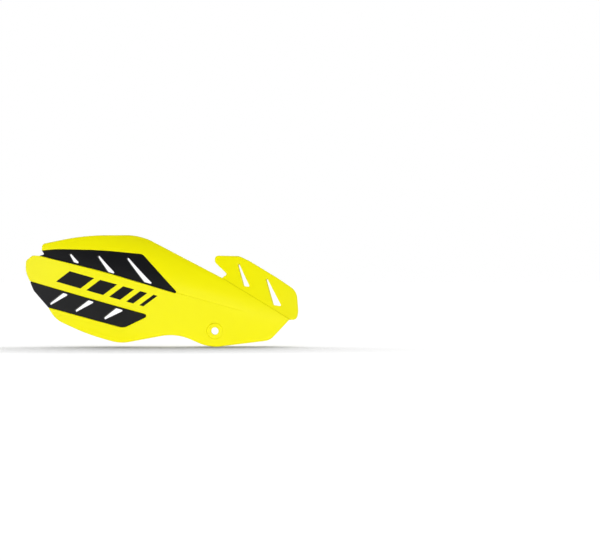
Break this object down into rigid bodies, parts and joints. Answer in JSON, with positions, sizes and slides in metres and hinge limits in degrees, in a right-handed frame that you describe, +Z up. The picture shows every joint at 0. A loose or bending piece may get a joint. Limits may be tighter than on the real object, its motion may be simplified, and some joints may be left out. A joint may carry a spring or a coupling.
{
  "type": "motorcycle hand guard",
  "caption": "Curved hand guard for a motocross handlebar: a moulded shell with finger-like outer ribs, black vented inserts, an inner flap with slots and a bolt hole with a boss behind.",
  "frame": {"origin": "centre of the bolt hole, at the seat of the screw head", "axes": "+X inwards along the guard, towards the middle of the handlebar; +Y to the rear, towards the rider's hand, so the outer face looks to -Y; +Z up"},
  "size_m": [0.2629, 0.0471, 0.1065],
  "materials": {
    "yellow_shell": "satin moulded polypropylene, coloured through",
    "black_insert": "fine textured moulded plastic"
  },
  "bodies": {
    "root": {"guard_shell": "yellow_shell", "upper_insert": "black_insert", "lower_insert": "black_insert"}
  },
  "joints": []
}
